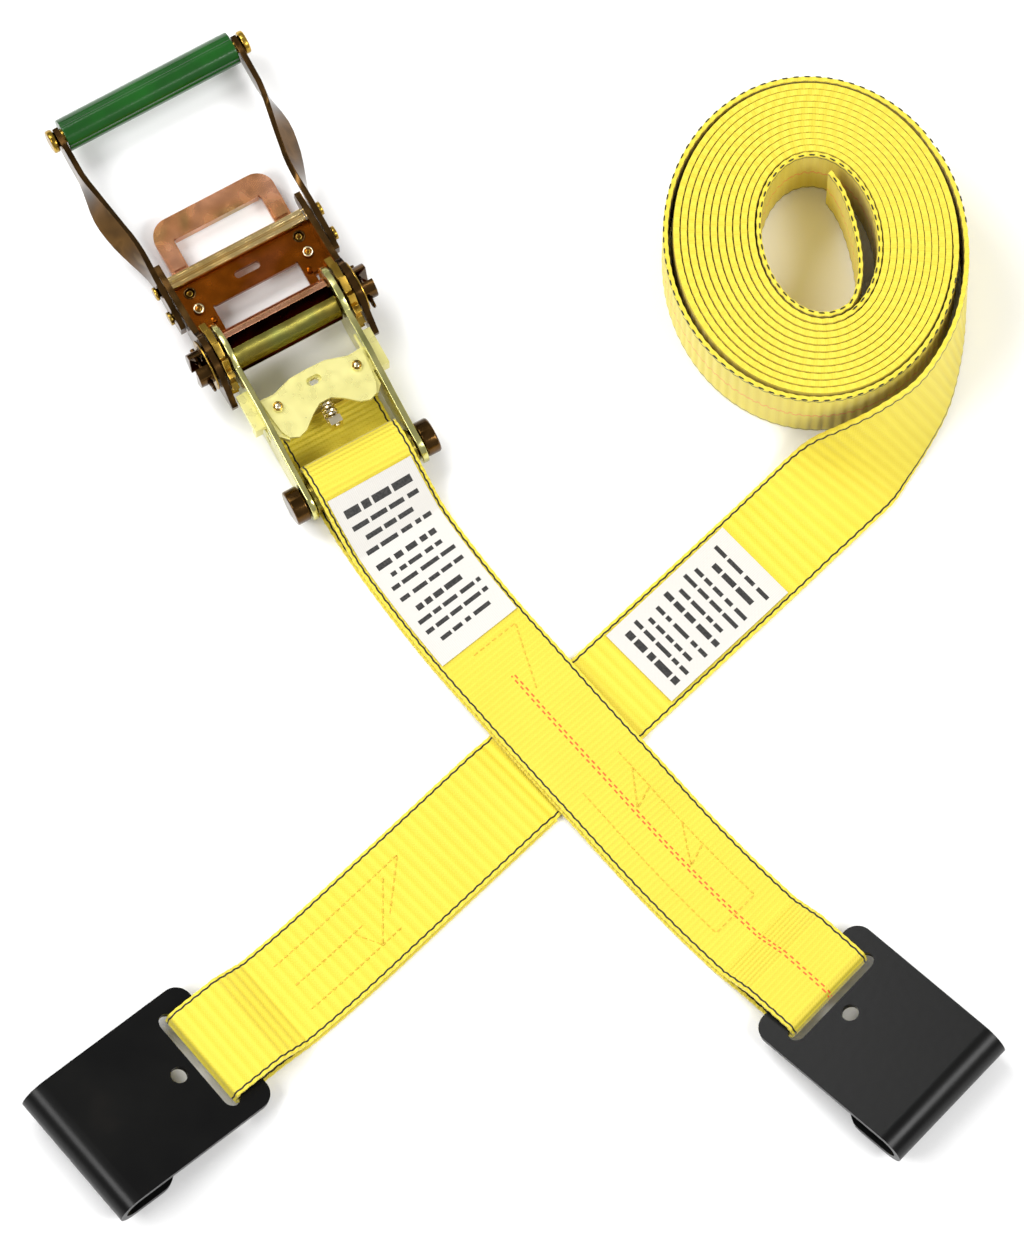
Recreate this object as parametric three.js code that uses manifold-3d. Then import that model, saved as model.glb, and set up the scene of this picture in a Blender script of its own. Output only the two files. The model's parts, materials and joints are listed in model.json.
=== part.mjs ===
// Two-inch ratchet strap: ratchet buckle with a fixed short strap and flat hook, and a coiled long strap.
// Millimetres, +Z up, floor at z = 0.
import * as THREE from "three";
import { mergeVertices } from "three/addons/utils/BufferGeometryUtils.js";
import Module from "manifold-3d";

const wasm = await Module();
wasm.setup();

// Webbing
const WEB_WIDTH = 50;
const WEB_THICK = 2.4;
// Ratchet, in its own frame: x across, y towards the grip, z up, drum axis at y = 0
const RATCHET_AT = [-107.47, 139.13];
const RATCHET_HEADING = 28.7;
const AXIS_Y = -4.5;
const AXIS_Z = 20;
const PLATE_IN = 27;
const PLATE_OUT = 30;
const HUB_R = 15.5;
const BOLT_Y = -81;
const BOLT_Z = 12;
const BOLT_R = 6;
const WHEEL_R = 18;
const WHEEL_ROOT_R = 14.6;
const WHEEL_TEETH = 12;
const DRUM_R = 10.5;
const JOURNAL_R = 8.4;
const JOURNAL_END = 46;
const SLOT_HALF = 3;
const SLOT_TURN = 82;
const EAR_IN = 35.2;
const EAR_OUT = 38.2;
const GRIP_Y = 125;
const GRIP_Z = 15;
const GRIP_R = 8;
const GRIP_LENGTH = 92;
// Flat hooks
const HOOK_WIDTH = 70;
const HOOK_PLATE = 3.5;
const HOOK_TILT = 11.8;
// Straps on the floor
const LONG_HEADING = 43.9;
const COIL_AT = [137.9, 167.3];
const COIL_TILT = 98;
const COIL_MAJOR = 79.3;
const COIL_MINOR = 69.6;
const COIL_HOLE_MAJOR = 39;
const COIL_HOLE_MINOR = 26;
const COIL_HOLE_SHIFT = [2.6, -2.4];

const YELLOW = { color: 0xf2cf1f, roughness: 0.75, metalness: 0 };
const ZINC = { color: 0xd9d3a6, roughness: 0.35, metalness: 0.9 };
const BRONZE = { color: 0x9c7440, roughness: 0.35, metalness: 0.9 };
const COPPER = { color: 0xb5793f, roughness: 0.35, metalness: 0.9 };
const BLACK = { color: 0x121212, roughness: 0.35, metalness: 0.4 };
const GREEN = { color: 0x12331c, roughness: 0.3, metalness: 0 };
const STEEL = { color: 0xb9bcc0, roughness: 0.3, metalness: 1 };
const WHITE = { color: 0xf1eee8, roughness: 0.8, metalness: 0 };

const root = new THREE.Group();
root.name = "ratchet_strap";

const degrees = (a) => (a * Math.PI) / 180;

function solidOf(geometry) {
  const bare = geometry.index ? geometry.toNonIndexed() : geometry.clone();
  bare.deleteAttribute("normal");
  bare.deleteAttribute("uv");
  const merged = mergeVertices(bare, 1e-4);
  return new wasm.Manifold(
    new wasm.Mesh({
      numProp: 3,
      vertProperties: merged.attributes.position.array,
      triVerts: new Uint32Array(merged.index.array),
    }),
  );
}

function geometryOf(solid) {
  const mesh = solid.getMesh();
  const geometry = new THREE.BufferGeometry();
  geometry.setAttribute("position", new THREE.BufferAttribute(mesh.vertProperties, 3));
  geometry.setIndex(new THREE.BufferAttribute(mesh.triVerts, 1));
  return geometry;
}

// The first geometry joined with the rest.
function join(...geometries) {
  return geometryOf(geometries.map(solidOf).reduce((a, b) => a.add(b)));
}

// The first geometry with the rest taken away.
function cut(base, ...tools) {
  return geometryOf(tools.map(solidOf).reduce((a, b) => a.subtract(b), solidOf(base)));
}

function common(a, b) {
  return geometryOf(solidOf(a).intersect(solidOf(b)));
}

function box(x0, x1, y0, y1, z0, z1) {
  const geometry = new THREE.BoxGeometry(x1 - x0, y1 - y0, z1 - z0);
  return geometry.translate((x0 + x1) / 2, (y0 + y1) / 2, (z0 + z1) / 2);
}

// A round rod along x.
function rodX(radius, x0, x1, y, z, segments = 20) {
  const geometry = new THREE.CylinderGeometry(radius, radius, x1 - x0, segments);
  return geometry.rotateZ(-Math.PI / 2).translate((x0 + x1) / 2, y, z);
}

function rodY(radius, y0, y1, x, z, segments = 14) {
  const geometry = new THREE.CylinderGeometry(radius, radius, y1 - y0, segments);
  return geometry.translate(x, (y0 + y1) / 2, z);
}

function rodZ(radius, z0, z1, x, y, segments = 16) {
  const geometry = new THREE.CylinderGeometry(radius, radius, z1 - z0, segments);
  return geometry.rotateX(Math.PI / 2).translate(x, y, (z0 + z1) / 2);
}

const shapeOf = (points) => new THREE.Shape(points.map(([a, b]) => new THREE.Vector2(a, b)));

function prism(shape, depth, curveSegments = 6) {
  return new THREE.ExtrudeGeometry(shape, { depth, bevelEnabled: false, curveSegments });
}

// A flat shape drawn in (y, z) as a plate from x0 to x1.
function plateX(shape, x0, x1, curveSegments) {
  const turn = new THREE.Matrix4().makeBasis(
    new THREE.Vector3(0, 1, 0),
    new THREE.Vector3(0, 0, 1),
    new THREE.Vector3(1, 0, 0),
  );
  return prism(shape, x1 - x0, curveSegments).applyMatrix4(turn).translate(x0, 0, 0);
}

// A flat shape drawn in (x, y) as a plate from z0 to z1.
function plateZ(shape, z0, z1, curveSegments) {
  return prism(shape, z1 - z0, curveSegments).translate(0, 0, z0);
}

function roundedRect(x0, x1, y0, y1, r) {
  const shape = new THREE.Shape();
  shape.moveTo(x0 + r, y0);
  shape.lineTo(x1 - r, y0);
  shape.absarc(x1 - r, y0 + r, r, -Math.PI / 2, 0, false);
  shape.lineTo(x1, y1 - r);
  shape.absarc(x1 - r, y1 - r, r, 0, Math.PI / 2, false);
  shape.lineTo(x0 + r, y1);
  shape.absarc(x0 + r, y1 - r, r, Math.PI / 2, Math.PI, false);
  shape.lineTo(x0, y0 + r);
  shape.absarc(x0 + r, y0 + r, r, Math.PI, 1.5 * Math.PI, false);
  return shape;
}

// Points of an arc about (a, b).
function arc(a, b, r, from, to, steps) {
  const points = [];
  for (let i = 0; i <= steps; i++) {
    const t = degrees(from + ((to - from) * i) / steps);
    points.push([a + r * Math.cos(t), b + r * Math.sin(t)]);
  }
  return points;
}

function bothSides(geometry) {
  return geometry.clone().scale(-1, 1, 1);
}

// Turns the faces of a mirrored geometry out again.
function mirrored(geometry) {
  const copy = bothSides(geometry.index ? geometry.toNonIndexed() : geometry);
  const position = copy.getAttribute("position");
  const a = new THREE.Vector3();
  const b = new THREE.Vector3();
  for (let i = 0; i < position.count; i += 3) {
    a.fromBufferAttribute(position, i + 1);
    b.fromBufferAttribute(position, i + 2);
    position.setXYZ(i + 1, b.x, b.y, b.z);
    position.setXYZ(i + 2, a.x, a.y, a.z);
  }
  copy.deleteAttribute("normal");
  copy.deleteAttribute("uv");
  return copy;
}

function add(group, name, geometry, finish) {
  const mesh = new THREE.Mesh(geometry, new THREE.MeshStandardMaterial(finish));
  mesh.name = name;
  group.add(mesh);
}

// Adds a piece of the right side and its mirror image on the left.
function addPair(group, name, geometry, finish) {
  add(group, name + "_right", geometry, finish);
  add(group, name + "_left", mirrored(geometry), finish);
}

const ratchet = new THREE.Group();
ratchet.position.set(RATCHET_AT[0], RATCHET_AT[1], 0);
ratchet.rotation.z = degrees(RATCHET_HEADING);
root.add(ratchet);

// ---- Ratchet frame ----
function framePlate() {
  const outline = shapeOf([
    ...arc(AXIS_Y, AXIS_Z, HUB_R, -105, 135, 18),
    [-36, 31],
    [-60, 25],
    ...arc(BOLT_Y, BOLT_Z, 10, 80, 270, 10),
    [-60, 0.6],
    [-16.5, 0.6],
  ]);
  const plate = plateX(outline, PLATE_IN, PLATE_OUT);
  return cut(
    plate,
    rodX(JOURNAL_R + 0.35, 20, 33, AXIS_Y, AXIS_Z, 28),
    rodX(BOLT_R + 0.35, 20, 33, BOLT_Y, BOLT_Z, 20),
    box(20, 33, -49.3, -24.3, 17.5, 22.5),
    box(20, 33, -48.2, -44.8, 8.7, 15.3),
  );
}
addPair(ratchet, "frame_plate", framePlate(), ZINC);

add(
  ratchet,
  "anchor_bolt",
  join(
    rodX(BOLT_R, -33.6, 33.7, BOLT_Y, BOLT_Z, 20),
    rodX(8.5, 30.3, 37.4, BOLT_Y, BOLT_Z, 20),
  ),
  BRONZE,
);
add(
  ratchet,
  "anchor_nut",
  cut(
    rodX(8.5, -37.4, -30.3, BOLT_Y, BOLT_Z, 20),
    rodX(BOLT_R + 0.3, -34, -30, BOLT_Y, BOLT_Z, 20),
  ),
  BRONZE,
);
add(
  ratchet,
  "anchor_sleeve",
  cut(
    rodX(8, -26.6, 26.6, BOLT_Y, BOLT_Z, 20),
    rodX(BOLT_R + 0.35, -28, 28, BOLT_Y, BOLT_Z, 20),
  ),
  BRONZE,
);
// Bridge whose ends sit in the plates' slots; it carries the pawl spring and its guide rod.
add(
  ratchet,
  "pawl_spring_seat",
  cut(
    join(
      box(-29.6, 29.6, -47.9, -45.1, 9, 15),
      box(-3, 3, -57.9, -45.1, 12, 15),
      box(-3, 3, -57.9, -54.5, 12, 22.4),
    ),
    rodY(1.6, -60, -52, 0, 20, 14),
  ),
  ZINC,
);
function framePawl() {
  const half = [
    [0, -44.6],
    [7, -45],
    [16, -51],
    [23, -54.5],
    [26.4, -51],
    [26.4, -43.8],
    [34.8, -43.8],
    [34.8, -24.7],
    [26.4, -24.7],
    [26.4, -31.6],
    [19.5, -32],
    [13, -30],
    [9, -28.8],
    [0, -28.5],
  ];
  const other = half.map(([x, y]) => [-x, y]).slice(1, -1);
  const outline = shapeOf([...half, ...other.reverse()].reverse());
  const hole = roundedRect(-2.2, 2.2, -37.1, -33.7, 1.5);
  outline.holes.push(hole);
  const flange = box(31, 34.8, -43.8, -40.8, 12, 21.9);
  return join(plateZ(outline, 18.1, 21.9, 4), flange, mirrored(flange));
}
const PAWL_RIVET_X = 20.5;
const PAWL_RIVET_Y = -38.8;
add(
  ratchet,
  "frame_pawl",
  cut(
    framePawl(),
    rodZ(2.3, 17, 23, PAWL_RIVET_X, PAWL_RIVET_Y, 14),
    rodZ(2.3, 17, 23, -PAWL_RIVET_X, PAWL_RIVET_Y, 14),
    rodY(1.6, -49, -40.1, 0, 20, 14),
  ),
  ZINC,
);
function pawlCover() {
  const half = [
    [0, -46.2],
    [3, -46.4],
    [8, -49.5],
    [14, -54.6],
    [18.5, -56],
    [22.5, -54.3],
    [24.5, -50],
    [25.5, -43],
    [26.2, -33.4],
    [19.5, -33.4],
    [13, -31.2],
    [9, -29.9],
    [0, -29.6],
  ];
  const other = half.map(([x, y]) => [-x, y]).slice(1, -1);
  const outline = shapeOf([...half, ...other.reverse()].reverse());
  outline.holes.push(roundedRect(-3.6, 3.6, -37.5, -33.3, 2));
  return plateZ(outline, 22.2, 24.2, 4);
}
add(
  ratchet,
  "frame_pawl_cover",
  cut(
    pawlCover(),
    rodZ(2.3, 21, 25, PAWL_RIVET_X, PAWL_RIVET_Y, 14),
    rodZ(2.3, 21, 25, -PAWL_RIVET_X, PAWL_RIVET_Y, 14),
  ),
  ZINC,
);
addPair(
  ratchet,
  "frame_pawl_rivet",
  join(
    rodZ(2, 17, 25, PAWL_RIVET_X, PAWL_RIVET_Y, 14),
    rodZ(2.6, 24.5, 25.6, PAWL_RIVET_X, PAWL_RIVET_Y, 14),
  ),
  COPPER,
);
add(
  ratchet,
  "pawl_guide_rod",
  rodY(1.3, -59, -40.5, 0, 20, 12),
  STEEL,
);
function pawlSpring() {
  const turns = 4;
  const length = 7.2;
  class Helix extends THREE.Curve {
    getPoint(t, target = new THREE.Vector3()) {
      const a = t * turns * 2 * Math.PI;
      return target.set(2.8 * Math.cos(a), -53.4 + length * t, 20 + 2.8 * Math.sin(a));
    }
  }
  const section = shapeOf(arc(0, 0, 0.6, 0, 288, 4));
  return new THREE.ExtrudeGeometry(section, { steps: 40, extrudePath: new Helix() });
}
add(ratchet, "frame_pawl_spring", pawlSpring(), STEEL);

// ---- Drum ----
// Half of a round bar: the part of it beyond the slot's flat, turned by the slot's tilt.
function halfBar(radius, x0, x1, offset, segments) {
  const from = (Math.asin(offset / radius) * 180) / Math.PI;
  const points = arc(0, 0, radius, from, 180 - from, segments);
  return plateX(shapeOf(points), x0, x1);
}
function drumHalf(turn) {
  const half = join(
    halfBar(DRUM_R, -26.4, 26.4, SLOT_HALF, 14),
    halfBar(JOURNAL_R, -JOURNAL_END, JOURNAL_END, SLOT_HALF, 12),
  );
  const pin = new THREE.CylinderGeometry(1.5, 1.5, 24, 10).rotateX(Math.PI / 2);
  const drilled = cut(half, pin.clone().translate(41.5, 0, 0), pin.clone().translate(-41.5, 0, 0));
  return drilled.rotateX(degrees(turn)).translate(0, AXIS_Y, AXIS_Z);
}
add(ratchet, "drum_half_front", drumHalf(SLOT_TURN), BRONZE);
add(ratchet, "drum_half_rear", drumHalf(SLOT_TURN - 180), BRONZE);
function ratchetWheel() {
  const outline = [];
  for (let i = 0; i < WHEEL_TEETH; i++) {
    const a = degrees((i * 360) / WHEEL_TEETH);
    const b = degrees(((i + 0.82) * 360) / WHEEL_TEETH);
    outline.push([WHEEL_R * Math.cos(a), WHEEL_R * Math.sin(a)]);
    outline.push([WHEEL_ROOT_R * Math.cos(b), WHEEL_ROOT_R * Math.sin(b)]);
  }
  const disc = plateX(shapeOf(outline), 31, 34.5);
  const window = halfBar(JOURNAL_R + 0.3, 30, 36, SLOT_HALF - 0.3, 12);
  const other = window.clone().rotateX(Math.PI);
  const wheel = cut(disc, window, other);
  return wheel.rotateX(degrees(SLOT_TURN)).translate(0, AXIS_Y, AXIS_Z);
}
addPair(ratchet, "ratchet_wheel", ratchetWheel(), STEEL);
addPair(
  ratchet,
  "drum_washer",
  cut(
    rodX(12.5, 38.7, 39.6, AXIS_Y, AXIS_Z, 24),
    rodX(JOURNAL_R + 0.3, 38, 41, AXIS_Y, AXIS_Z, 24),
  ),
  ZINC,
);
function splitPin() {
  const pin = new THREE.CylinderGeometry(1.15, 1.15, 20, 10).rotateX(Math.PI / 2);
  const eye = new THREE.TorusGeometry(1.9, 0.8, 6, 12).rotateY(Math.PI / 2).translate(0, 0, 11);
  const whole = join(pin, eye);
  return whole.rotateX(degrees(SLOT_TURN)).translate(41.5, AXIS_Y, AXIS_Z);
}
addPair(ratchet, "split_pin", splitPin(), STEEL);

// ---- Handle ----
function handleWall() {
  const outline = shapeOf([
    [-27.5, 13],
    [-12.5, 7.6],
    [-4.5, 4.8],
    [6, 6.5],
    [18, 8],
    [47, 8],
    [49, 11],
    [49, 17],
    [40, 19],
    [16, 24],
    ...arc(AXIS_Y, AXIS_Z, HUB_R, 25, 150, 10),
    [-27.5, 16],
  ]);
  return cut(
    plateX(outline, EAR_IN, EAR_OUT),
    rodX(JOURNAL_R + 0.35, 33, 40, AXIS_Y, AXIS_Z, 28),
  );
}
const WINDOW_Y = 21;
function handleFrame() {
  const wall = handleWall();
  const side = plateZ(
    shapeOf([[22, 5], [26.5, 5], [26.5, 11.9], [36, 11.9], [36, 37], [22, 37]]),
    8,
    10.5,
  );
  const centre = plateZ(roundedRect(-23, 23, WINDOW_Y, 37, 3), 8, 10.5);
  const bumps = [];
  const holes = [];
  for (const x of [-28.5, 28.5]) {
    bumps.push(rodZ(2.7, 9.5, 11.9, x, 23, 14));
    bumps.push(box(x - 2.6, x + 2.6, 13, 17.6, 9.5, 12));
    holes.push(rodZ(2.7, 7, 12, x, 31.8, 14));
  }
  const slot = plateZ(roundedRect(-6.4, 6.4, 27.4, 31, 1.7), 6, 12);
  const body = join(wall, mirrored(wall), side, mirrored(side), centre, ...bumps);
  return cut(body, slot, ...holes);
}
add(ratchet, "handle_frame", handleFrame(), COPPER);
// Doubled bead rolled across the end of the plate.
function guideBar() {
  return join(
    rodX(1.7, -34.9, 34.9, 37.6, 12.6, 14),
    rodX(1.7, -34.9, 34.9, 41, 12.6, 14),
    box(-34.9, 34.9, 37.4, 41.2, 10.9, 13.4),
  );
}
add(ratchet, "handle_guide_bar", guideBar(), ZINC);
// Flat side bars that flare out to the grip, leaning inwards between their two ends.
const FLARE = 6.5;
const ARM_THICK = 2.7;
const ARM_HEIGHT = 13;
const ARM_LEAN = -36;
function handleArm() {
  const geometry = new THREE.BoxGeometry(ARM_THICK, 113, ARM_HEIGHT, 1, 22, 1);
  const position = geometry.getAttribute("position");
  for (let i = 0; i < position.count; i++) {
    const y = position.getY(i) + 72.5;
    const t = (y - 40) / 66;
    const lean = degrees(ARM_LEAN) * smooth(t * 2.2) * smooth((1 - t) * 2.2);
    const ends = Math.min(1, 0.6 + Math.min(y - 16, 129 - y) / 16);
    const x = position.getX(i);
    const z = position.getZ(i) * ends;
    const middleX = 40 + FLARE * smooth((y - 40) / 48);
    const place = x * Math.cos(lean) + z * Math.sin(lean);
    position.setXYZ(i, middleX + place, y, GRIP_Z - x * Math.sin(lean) + z * Math.cos(lean));
  }
  return cut(
    geometry,
    rodX(3.9, 36, 60, GRIP_Y, GRIP_Z, 16),
    rodX(2.3, 36, 44, 24, 16, 12),
    rodX(2.3, 36, 44, 38, 14, 12),
  );
}
addPair(ratchet, "handle_arm", handleArm(), COPPER);
function armRivet(y, z) {
  return join(rodX(3.4, 41.8, 43.6, y, z, 12), rodX(1.9, 38.4, 42, y, z, 12));
}
addPair(ratchet, "arm_rivet_front", armRivet(24, 16), BRONZE);
addPair(ratchet, "arm_rivet_rear", armRivet(38, 14), BRONZE);
add(
  ratchet,
  "grip_rod",
  join(
    rodX(3.5, -51, 51, GRIP_Y, GRIP_Z, 16),
    rodX(5.7, 48.4, 51.4, GRIP_Y, GRIP_Z, 18),
    rodX(5.7, -51.4, -48.4, GRIP_Y, GRIP_Z, 18),
  ),
  BRONZE,
);
function grip() {
  const half = GRIP_LENGTH / 2 - 1.6;
  const grooves = 4;
  const steps = 11;
  const outline = [];
  for (let i = 0; i < grooves * steps; i++) {
    const r = i % steps ? GRIP_R : GRIP_R - 0.6;
    const a = degrees(70 + (i * 360) / (grooves * steps));
    outline.push([r * Math.cos(a) + GRIP_Y, r * Math.sin(a) + GRIP_Z]);
  }
  return cut(
    plateX(shapeOf(outline), -half, half),
    rodX(3.85, -60, 60, GRIP_Y, GRIP_Z, 16),
  );
}
add(ratchet, "grip", grip(), GREEN);
// Finger pull: a D-shaped loop whose legs run under the plate.
function handlePull() {
  const outline = roundedRect(-31, 31, 26, 69.6, 9);
  outline.holes.push(roundedRect(-22.5, 22.5, 42, 59.6, 2));
  outline.holes.push(roundedRect(-7, 7, 26.8, 32.6, 2));
  const loop = plateZ(outline, 4.2, 7.6, 5);
  const tabs = box(-34.7, 34.7, 24, 29.5, 4.2, 7.6);
  const notch = box(-7, 7, 20, 30, 3, 9);
  const lip = box(-21.5, 21.5, 58.4, 61.2, 1.6, 7.6);
  const blocks = [box(23.4, 29.6, 45, 52, 7, 8.9), box(-29.6, -23.4, 45, 52, 7, 8.9)];
  return cut(join(loop, tabs, lip, ...blocks), notch);
}
add(ratchet, "handle_pull", handlePull(), COPPER);

// ---- Webbing ----
// Extrudes an outline drawn in (run, height) across a strip's width, centred on y = 0.
function webOf(shape, width) {
  const turn = new THREE.Matrix4().makeBasis(
    new THREE.Vector3(1, 0, 0),
    new THREE.Vector3(0, 0, 1),
    new THREE.Vector3(0, -1, 0),
  );
  return prism(shape, width).translate(0, 0, -width / 2).applyMatrix4(turn);
}

// Lays a strip drawn along +x on a course: a function from run to place and heading.
function lay(geometry, course) {
  const position = geometry.getAttribute("position");
  for (let i = 0; i < position.count; i++) {
    const at = course(position.getX(i));
    const side = position.getY(i);
    const x = at.x - side * Math.sin(at.heading);
    const y = at.y + side * Math.cos(at.heading);
    position.setXYZ(i, x, y, position.getZ(i));
  }
  return geometry;
}

function smooth(t) {
  const u = Math.min(1, Math.max(0, t));
  return u * u * (3 - 2 * u);
}

// Follows a heading from a start place, a run of s (negative runs go backwards).
function follow(start, headingAt, s) {
  const steps = 40;
  let x = start.x;
  let y = start.y;
  for (let i = 0; i < steps; i++) {
    const heading = headingAt((s * (i + 0.5)) / steps);
    x += (Math.cos(heading) * s) / steps;
    y += (Math.sin(heading) * s) / steps;
  }
  return { x, y, heading: headingAt(s) };
}

function ratchetPoint(x, y) {
  const c = Math.cos(degrees(RATCHET_HEADING));
  const s = Math.sin(degrees(RATCHET_HEADING));
  return { x: RATCHET_AT[0] + c * x - s * y, y: RATCHET_AT[1] + s * x + c * y };
}

// Short strap: s runs from the anchor bolt to the hook's bar.
const SHORT_LENGTH = 317;
const SHORT_START = RATCHET_HEADING - 90;
const SHORT_MIDDLE = -47.2;
const SHORT_EASE = 70;
const HOOK_EASE = 4.2;
function shortHeading(s) {
  const start = (SHORT_START - SHORT_MIDDLE) * Math.exp(-Math.max(s, 0) / SHORT_EASE);
  return degrees(SHORT_MIDDLE + start + HOOK_EASE * smooth((s - 215) / 75));
}
const shortCourse = (s) => follow(ratchetPoint(0, BOLT_Y), shortHeading, s);

// Long strap: s runs from the hook's bar to the start of the twist.
const LONG_LENGTH = 362;
const LONG_END_AT = { x: 130, y: 46.5 };
const LONG_START_TURN = 3.9;
function longHeading(back) {
  return degrees(LONG_HEADING - LONG_START_TURN * smooth((-back - LONG_LENGTH + 90) / 70));
}
const longCourse = (s) => follow(LONG_END_AT, longHeading, s - LONG_LENGTH);

// Heights of a strap's under and upper surface along its run.
const FLOOR_GAP = 0.1;
const DOUBLE = 4.9;
const CROSSING = 154;
const CROSSING_HALF = 27;
const CROSSING_RAMP = 42;
function shortUnder(s) {
  const t = (Math.abs(s - CROSSING) - CROSSING_HALF) / CROSSING_RAMP;
  return FLOOR_GAP + 2.9 * (1 - smooth(t));
}
const LOOP_SLOPE_END = 33;
function shortUpper(s) {
  const flat = shortUnder(s) + DOUBLE;
  const slope = flat + (LOOP_SLOPE_END - s) * 0.6;
  return s < LOOP_SLOPE_END ? slope : flat;
}
const SINGLE_FROM = 188;
function longUpper(s) {
  return FLOOR_GAP + WEB_THICK + (DOUBLE - WEB_THICK) * (1 - smooth((s - SINGLE_FROM + 10) / 10));
}

// Sampled points (run, height) from one run to another.
function samples(from, to, step, heightAt) {
  const count = Math.max(1, Math.round(Math.abs(to - from) / step));
  const points = [];
  for (let i = 0; i <= count; i++) {
    const s = from + ((to - from) * i) / count;
    points.push([s, heightAt(s)]);
  }
  return points;
}

// Loop round a hook's bar, centred on the bar and opening towards -x.
const HOOK_BAR_Z = 9.3;
const FOLD_INNER = 7.6;
const FOLD_OUTER = 10;
const LOOP_HALF = 5.4;
function hookLoopHole(s, way) {
  const clip = (Math.asin(LOOP_HALF / FOLD_INNER) * 180) / Math.PI;
  const points = arc(0, 0, FOLD_INNER, -clip, clip, 10);
  const tip = [-24, 2.6 - HOOK_BAR_Z + 0.1];
  const hole = [...points, [-9, LOOP_HALF], tip, [-9, -LOOP_HALF]];
  return new THREE.Path(hole.map(([a, b]) => new THREE.Vector2(s + way * a, HOOK_BAR_Z + b)));
}
function hookLoopOuter(s, way) {
  const half = LOOP_HALF + WEB_THICK;
  const clip = (Math.asin(half / FOLD_OUTER) * 180) / Math.PI;
  const points = arc(0, 0, FOLD_OUTER, -clip, clip, 10);
  const outer = [[-9, -half], ...points, [-9, half]];
  return outer.map(([a, b]) => [s + way * a, HOOK_BAR_Z + b]);
}

function shortWebbing() {
  const loop = arc(0, BOLT_Z, 10.9, 60, 262, 16);
  const under = samples(16, SHORT_LENGTH - 34, 7, shortUnder);
  const upper = samples(SHORT_LENGTH - 34, LOOP_SLOPE_END, 7, shortUpper);
  const outline = shapeOf([...loop, ...under, ...hookLoopOuter(SHORT_LENGTH, 1), ...upper]);
  const boltHole = [...arc(0, BOLT_Z, 8.4, 60, 268, 16), [12, 2.9], [27, 4.6]];
  outline.holes.push(new THREE.Path(boltHole.map(([a, b]) => new THREE.Vector2(a, b))));
  outline.holes.push(hookLoopHole(SHORT_LENGTH, 1));
  const tail = box(-41, 2, -WEB_WIDTH / 2 + 0.5, WEB_WIDTH / 2 - 0.5, 1.1, 3.5);
  return lay(join(webOf(outline, WEB_WIDTH), tail), shortCourse);
}
const shortItem = new THREE.Group();
root.add(shortItem);
add(shortItem, "short_webbing", shortWebbing(), YELLOW);

function longWebbing() {
  const under = samples(34, LONG_LENGTH - 1.6, 12, () => FLOOR_GAP);
  const upper = samples(LONG_LENGTH - 1.6, 34, 8, longUpper);
  const outer = hookLoopOuter(0, -1).reverse();
  const outline = shapeOf([...under, ...upper, ...outer]);
  outline.holes.push(hookLoopHole(0, -1));
  return lay(webOf(outline, WEB_WIDTH), longCourse);
}
add(root, "long_webbing", longWebbing(), YELLOW);

// A thin label lying on a strap's upper surface.
function label(from, to, width, upperAt, course) {
  const low = samples(from, to, 5, (s) => upperAt(s) + 0.7);
  const high = samples(to, from, 5, (s) => upperAt(s) + 1.15);
  return lay(webOf(shapeOf([...low, ...high]), width), course);
}
add(shortItem, "short_label", label(7, 94, 43.7, shortUpper, shortCourse), WHITE);
add(root, "long_label", label(LONG_LENGTH - 100, LONG_LENGTH - 26, 43, longUpper, longCourse), WHITE);

// Quarter twist from lying flat to standing on edge beside the coil.
const TWIST_UPPER = [
  [111.8, 64.0, 1.3],
  [131, 78, 12],
  [150, 82.5, 34],
  [167.5, 89.5, 46],
  [186, 102, 50],
  [201.2, 125, 50.6],
  [208.2, 150, 50.8],
];
const TWIST_LOWER = [
  [148.2, 29.4, 1.3],
  [168, 50.5, 1.5],
  [180, 66.5, 1.5],
  [189.5, 80, 1.5],
  [200, 101.5, 1.5],
  [206.4, 127, 1.5],
  [208.9, 150, 1.5],
];
function twist() {
  const upper = new THREE.CatmullRomCurve3(TWIST_UPPER.map((p) => new THREE.Vector3(...p)));
  const lower = new THREE.CatmullRomCurve3(TWIST_LOWER.map((p) => new THREE.Vector3(...p)));
  const sections = 30;
  const geometry = new THREE.BoxGeometry(1, WEB_WIDTH, WEB_THICK, sections, 4, 1);
  const position = geometry.getAttribute("position");
  const middle = (t) => upper.getPoint(t).add(lower.getPoint(t)).multiplyScalar(0.5);
  for (let i = 0; i < position.count; i++) {
    const t = Math.min(1, Math.max(0, position.getX(i) + 0.5));
    const across = upper.getPoint(t).sub(lower.getPoint(t)).normalize();
    const ahead = middle(Math.min(1, t + 0.01)).sub(middle(Math.max(0, t - 0.01))).normalize();
    const out = new THREE.Vector3().crossVectors(ahead, across).normalize();
    const place = middle(t);
    place.addScaledVector(across, position.getY(i) * 0.985);
    place.addScaledVector(out, position.getZ(i));
    position.setXYZ(i, place.x, place.y, Math.max(place.z, 0.05));
  }
  return geometry;
}
add(root, "long_webbing_twist", twist(), YELLOW);

function coil() {
  const outline = new THREE.Shape();
  outline.absellipse(0, 0, COIL_MAJOR, COIL_MINOR, 0, 2 * Math.PI, false);
  const hole = new THREE.Path();
  hole.absellipse(...COIL_HOLE_SHIFT, COIL_HOLE_MAJOR, COIL_HOLE_MINOR, 0, 2 * Math.PI, true);
  outline.holes.push(hole);
  const ring = plateZ(outline, 0, WEB_WIDTH, 28);
  return ring.rotateZ(degrees(COIL_TILT)).translate(COIL_AT[0], COIL_AT[1], 0);
}
add(root, "webbing_coil", coil(), YELLOW);

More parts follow.
